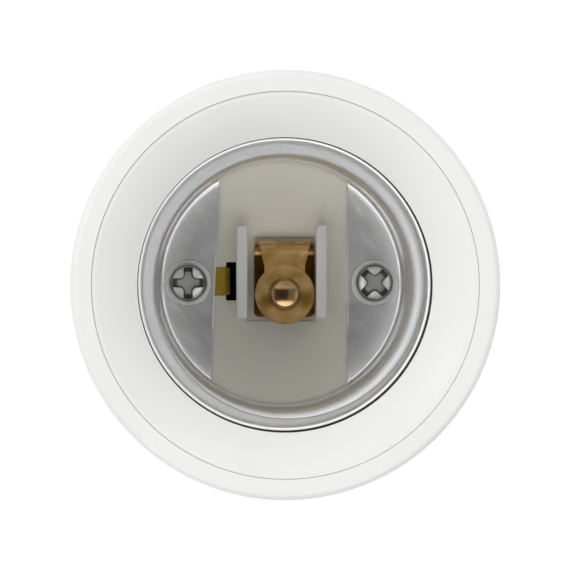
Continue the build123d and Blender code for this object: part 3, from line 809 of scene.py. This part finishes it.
def rolled_finish(name, base, dark, rough_low, rough_high, leaf_shade=None, bright=None, shade_patches=()):
    """Rolled brass or copper strip: rolling lines, a darker film in blotches and specks.

    Painted shade on the lower leaf is given as the heights between which it fades upwards, the places along Y
    between which it ends, and its tone. A bright top is given as the heights between which it begins, and its
    roughness. A patch of painted shade is given as its place along X and Y, its radius and its tone.
    """
    finish = Finish(name, base, roughness=rough_low, metallic=1.0)
    film = finish.noise(scale=420.0, detail=1.5)
    rolling = finish.lines(scale=(5000.0, 400.0, 400.0), detail=1.0)
    waves = finish.noise(scale=450.0, detail=1.0)
    specks = finish.spots(scale=380.0, size=0.08)
    toned = finish.blend(finish.ramp(film, 0.3, 0.7, 0.0, 0.9), base, dark)
    toned = finish.blend(finish.times(specks, 0.7), toned, shaded(dark, 0.3))
    rough = finish.ramp(film, 0.35, 0.7, rough_low, rough_high)
    # Painted shade on the lower leaf: full below its heights and up to the fold.
    if leaf_shade:
        low, high, near, far, tone = leaf_shade
        below = finish.ramp(finish.level(), low, high, 1.0, 0.0)
        before = finish.ramp(finish.level("Y"), near, far, 1.0, 0.0)
        toned = finish.blend(finish.times(below, before), toned, tone)
    # Painted shade on the button's lower left and right flanks, in round patches.
    for x, y, reach, tone in shade_patches:
        shade_patch = finish.ramp(finish.away(finish.place, x, y), 0.3 * reach, reach, 0.9, 0.0)
        toned = finish.blend(shade_patch, toned, tone)
    if bright:
        low, high, smooth = bright
        toned = finish.blend(finish.ramp(finish.level(), low, high), toned, shaded(base, 0.72))
        rough = finish.times(rough, finish.ramp(finish.level(), low, high, 1.0, smooth / rough_high))
    finish.set("Base Color", toned)
    finish.set("Roughness", rough)
    finish.bump(finish.plus(finish.times(rolling, 0.1), waves), strength=0.06, distance=0.012 * MM)
    return finish


def soft_finish(name, base, roughness, shade=0.8):
    """Smooth sleeve, insulator, solder or paper: faint clouds in the colour and a slow ripple."""
    finish = Finish(name, base, roughness)
    cloud = finish.noise(scale=500.0)
    finish.set("Base Color", finish.blend(finish.ramp(cloud, 0.3, 0.7), base, shaded(base, shade)))
    finish.set("Roughness", finish.ramp(cloud, 0.3, 0.7, 0.85 * roughness, 1.2 * roughness))
    finish.bump(cloud, strength=0.15, distance=0.04 * MM)
    return finish


def dress(piece, finish):
    """Gives a piece one finish in place of what it had."""
    piece.data.materials.clear()
    piece.data.materials.append(finish.material)


def looking(place, target):
    """Place and turn of something that looks at a target with +Y upwards in its picture."""
    back = (place - target).normalized()
    right = Vector((0.0, 1.0, 0.0)).cross(back).normalized()
    return Matrix.Translation(place) @ Matrix((right, back.cross(right), back)).transposed().to_4x4()


def tent(studio):
    """White tent: bright high up, dimmer near the floor, with an opening for the camera overhead.

    The light rises in a smooth step with the direction's height, and is multiplied by 1 plus the leans times
    X and Y and the front panel's share of Y. Inside the opening, a box in X and Y, its own light takes over.
    """
    world = bpy.data.worlds.new("sky")
    world.use_nodes = True
    sky = Graph(world.node_tree)
    direction = sky.node("ShaderNodeTexCoord").outputs["Generated"]
    parts = sky.node("ShaderNodeSeparateXYZ", {0: direction}).outputs
    x, y, z = parts["X"], parts["Y"], parts["Z"]
    lean = sky.plus(sky.times(x, studio.lean_x), sky.times(y, studio.lean_y))
    panel = sky.times(sky.ease(z, PANEL_RISE, 0.0, -studio.front), y)
    uneven = sky.math("MAXIMUM", sky.plus(sky.plus(lean, panel), 1.0), LEAST_TENT)
    cloth = sky.times(sky.ease(z, TENT_RISE, studio.horizon, studio.crown), uneven)
    wide = sky.math("DIVIDE", sky.math("ABSOLUTE", x), OPENING_WIDTH)
    deep = sky.math("DIVIDE", sky.math("ABSOLUTE", y), OPENING_DEPTH)
    outside = sky.plus(sky.math("MAXIMUM", wide, deep), sky.math("LESS_THAN", z, 0.0))
    opening = sky.ease(x, OPEN_SIDE_START, studio.camera_side, studio.open_side)
    covered = sky.times(sky.ease(outside, OPENING_EDGE), sky.minus(cloth, opening))
    light = sky.node("ShaderNodeBackground", {"Strength": sky.plus(opening, covered)})
    sky.node("ShaderNodeOutputWorld", {"Surface": light.outputs["Background"]})
    return world


class AdapterOperator:
    """What all the adapter's operators share."""

    bl_options = {"REGISTER", "UNDO"}


class ADAPTER_OT_body(AdapterOperator, bpy.types.Operator):
    """Finish the moulded casing and socket insert"""

    bl_idname = "adapter.body"
    bl_label = "White body"

    def execute(self, context):
        tones = context.scene.adapter_colours
        wear_and_shade = context.scene.adapter_wear
        floor = shell_low.z
        # Greyer towards the bottom of the socket, and paler and creamier on the floor.
        layers = (
            (floor + wear_and_shade.rib_low, floor + wear_and_shade.rib_high, tones.rib),
            (floor + wear_and_shade.cream_low, floor + wear_and_shade.cream_high, tones.cream),
        )
        dress(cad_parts["casing"], moulded_finish("casing_plastic", tones.casing))
        dress(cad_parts["socket_insert"], moulded_finish("insert_plastic", tones.insert, layers))
        return {"FINISHED"}


class ADAPTER_OT_socket_shell(AdapterOperator, bpy.types.Operator):
    """Make the drawn socket shell with its rolled thread, lip and two bottom segments"""

    bl_idname = "adapter.socket_shell"
    bl_label = "Socket shell"

    def execute(self, context):
        sizes = context.scene.adapter_socket
        tones = context.scene.adapter_colours
        floor = sizes.heel + sizes.wall
        bottom = (floor, floor + context.scene.adapter_wear.rubbed, tones.dull)
        grids = [socket_wall(sizes), chord_plate(-1, sizes), chord_plate(1, sizes)]
        piece = shell_piece("socket_shell", grids)
        dress(piece, drawn_finish("shell_aluminium", tones.aluminium, tones.pit, bottom))
        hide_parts("screw_shell")
        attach(piece, "adapter")
        return {"FINISHED"}


class ADAPTER_OT_screws(AdapterOperator, bpy.types.Operator):
    """Finish the two cross-recess screws"""

    bl_idname = "adapter.screws"
    bl_label = "Shell screws"

    def execute(self, context):
        tones = context.scene.adapter_colours
        middle = ((screw_low.x + screw_high.x) / 2, 0.0, screw_high.z)
        zinc = plated_finish("screw_zinc", tones.zinc, tones.recess_shade, middle, context.scene.adapter_wear.recess)
        for node in ("shell_screw_left", "shell_screw_right"):
            dress(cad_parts[node], zinc)
        return {"FINISHED"}


class ADAPTER_OT_contact(AdapterOperator, bpy.types.Operator):
    """Make the folded contact spring and finish the button"""

    bl_idname = "adapter.contact"
    bl_label = "Centre contact"

    def execute(self, context):
        sizes = context.scene.adapter_contact
        tones = context.scene.adapter_colours
        wear_and_shade = context.scene.adapter_wear
        leaf_top = strip_low.z + sizes.thickness
        fold = (sizes.middle, strip_high.y - sizes.bend - sizes.thickness)
        # Painted shade on the leaf under the tongue, ending where the fold begins.
        leaf_shade = (
            leaf_top + wear_and_shade.leaf_shade_low, leaf_top + wear_and_shade.leaf_shade_high,
            fold[1], fold[1] + wear_and_shade.leaf_shade_edge, tones.leaf_shade,
        )
        piece = strip_piece("contact_strip", strip_sections(sizes))
        copper = rolled_finish(
            "strip_copper", tones.copper, tones.tarnish, rough_low=0.24, rough_high=0.36, leaf_shade=leaf_shade
        )
        dress(piece, copper)
        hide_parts("contact_spring")
        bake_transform(piece)
        foot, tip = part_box("contact_button")
        x, y = (foot.x + tip.x) / 2, (foot.y + tip.y) / 2
        rubbed = (tip.z - wear_and_shade.nipple_low, tip.z - wear_and_shade.nipple_high, wear_and_shade.nipple_rough)
        # Painted shade for the button's lower left and right flanks, in a dark olive.
        flank_shade = shaded(tones.tarnish, wear_and_shade.film)
        shade_patches = [(x + aside, y + along, reach, flank_shade) for aside, along, reach in FLANK_SHADE_PATCHES]
        button = rolled_finish(
            "button_copper", tones.copper, tones.tarnish, rough_low=0.34, rough_high=0.42,
            bright=rubbed, shade_patches=shade_patches,
        )
        dress(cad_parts["contact_button"], button)
        return {"FINISHED"}


class ADAPTER_OT_leads(AdapterOperator, bpy.types.Operator):
    """Finish the brass lead, terminal and rivet, and the sleeved centre lead"""

    bl_idname = "adapter.leads"
    bl_label = "Leads"

    def execute(self, context):
        tones = context.scene.adapter_colours
        film = shaded(tones.brass, context.scene.adapter_wear.film)
        brass = rolled_finish("lead_brass", tones.brass, film, rough_low=0.28, rough_high=0.42)
        for node in ("shell_lead", "lead_terminal", "spring_rivet"):
            dress(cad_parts[node], brass)
        dress(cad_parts["centre_lead"], soft_finish("wire_sleeve", tones.sleeve, roughness=0.5))
        return {"FINISHED"}


class ADAPTER_OT_base(AdapterOperator, bpy.types.Operator):
    """Make the rolled base shell, and finish the insulator, contact and solder below it"""

    bl_idname = "adapter.base"
    bl_label = "Screw base"

    def execute(self, context):
        tones = context.scene.adapter_colours
        piece = shell_piece("base_screw_shell", [base_wall(context.scene.adapter_base)])
        dress(piece, drawn_finish("base_aluminium", tones.aluminium, tones.pit))
        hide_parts("base_shell")
        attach(piece, "adapter")
        insulator = soft_finish("base_insulator", tones.insulator, roughness=0.2)
        insulator.set("Coat Weight", 0.4)
        solder = soft_finish("tip_solder", tones.solder, roughness=0.36)
        solder.set("Metallic", 1.0)
        film = shaded(tones.brass, context.scene.adapter_wear.film)
        brass = rolled_finish("contact_brass", tones.brass, film, rough_low=0.24, rough_high=0.4)
        dress(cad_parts["base_insulator"], insulator)
        dress(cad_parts["tip_solder"], solder)
        dress(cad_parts["base_contact"], brass)
        return {"FINISHED"}


class ADAPTER_OT_stage(AdapterOperator, bpy.types.Operator):
    """Make the pale floor, the soft light and the camera over the mouth"""

    bl_idname = "adapter.stage"
    bl_label = "Stage"

    def execute(self, context):
        scene = context.scene
        studio = scene.adapter_studio
        half = studio.floor_size / 2
        low = cad_box[0].z
        corners = [(-half, -half, low), (half, -half, low), (half, half, low), (-half, half, low)]
        floor = new_piece("floor", corners, [(0, 1, 2, 3)])
        pale = soft_finish("floor_paper", scene.adapter_colours.floor, roughness=0.6, shade=0.98)
        pale.set("Emission Color", (1.0, 1.0, 1.0, 1.0))
        pale.set("Emission Strength", studio.glow)
        dress(floor, pale)
        scene.world = tent(studio)
        camera = bpy.data.objects.new("camera", bpy.data.cameras.new("camera"))
        camera.data.lens = studio.focal
        camera.data.sensor_width = SENSOR_WIDTH
        camera.data.clip_start = CLIP_START
        camera.data.clip_end = CLIP_END
        camera.matrix_world = looking(Vector(studio.camera), Vector(studio.target))
        scene.collection.objects.link(camera)
        scene.camera = camera
        scene.view_settings.view_transform = "Standard"
        return {"FINISHED"}


class ADAPTER_PT_panel(bpy.types.Panel):
    """Lists the adapter's pieces and its stage"""

    bl_idname = "ADAPTER_PT_panel"
    bl_label = "Lamp socket adapter"
    bl_space_type = "VIEW_3D"
    bl_region_type = "UI"
    bl_category = "Adapter"

    def draw(self, context):
        for operator in OPERATORS:
            self.layout.operator(operator.bl_idname)


SETTINGS = {
    "adapter_socket": SocketShellSizes,
    "adapter_base": BaseShellSizes,
    "adapter_contact": ContactSizes,
    "adapter_wear": WearAndShadeSizes,
    "adapter_colours": FinishColours,
    "adapter_studio": StudioSettings,
}
OPERATORS = (
    ADAPTER_OT_body,
    ADAPTER_OT_socket_shell,
    ADAPTER_OT_screws,
    ADAPTER_OT_contact,
    ADAPTER_OT_leads,
    ADAPTER_OT_base,
    ADAPTER_OT_stage,
)


def register():
    for name, group in SETTINGS.items():
        bpy.utils.register_class(group)
        setattr(bpy.types.Scene, name, PointerProperty(type=group))
    for operator in OPERATORS:
        bpy.utils.register_class(operator)
    bpy.utils.register_class(ADAPTER_PT_panel)


def unregister():
    bpy.utils.unregister_class(ADAPTER_PT_panel)
    for operator in reversed(OPERATORS):
        bpy.utils.unregister_class(operator)
    for name, group in reversed(SETTINGS.items()):
        delattr(bpy.types.Scene, name)
        bpy.utils.unregister_class(group)


def main():
    register()
    bpy.ops.adapter.body()
    bpy.ops.adapter.socket_shell()
    bpy.ops.adapter.screws()
    bpy.ops.adapter.contact()
    bpy.ops.adapter.leads()
    bpy.ops.adapter.base()
    bpy.ops.adapter.stage()


if __name__ == "__main__":
    main()
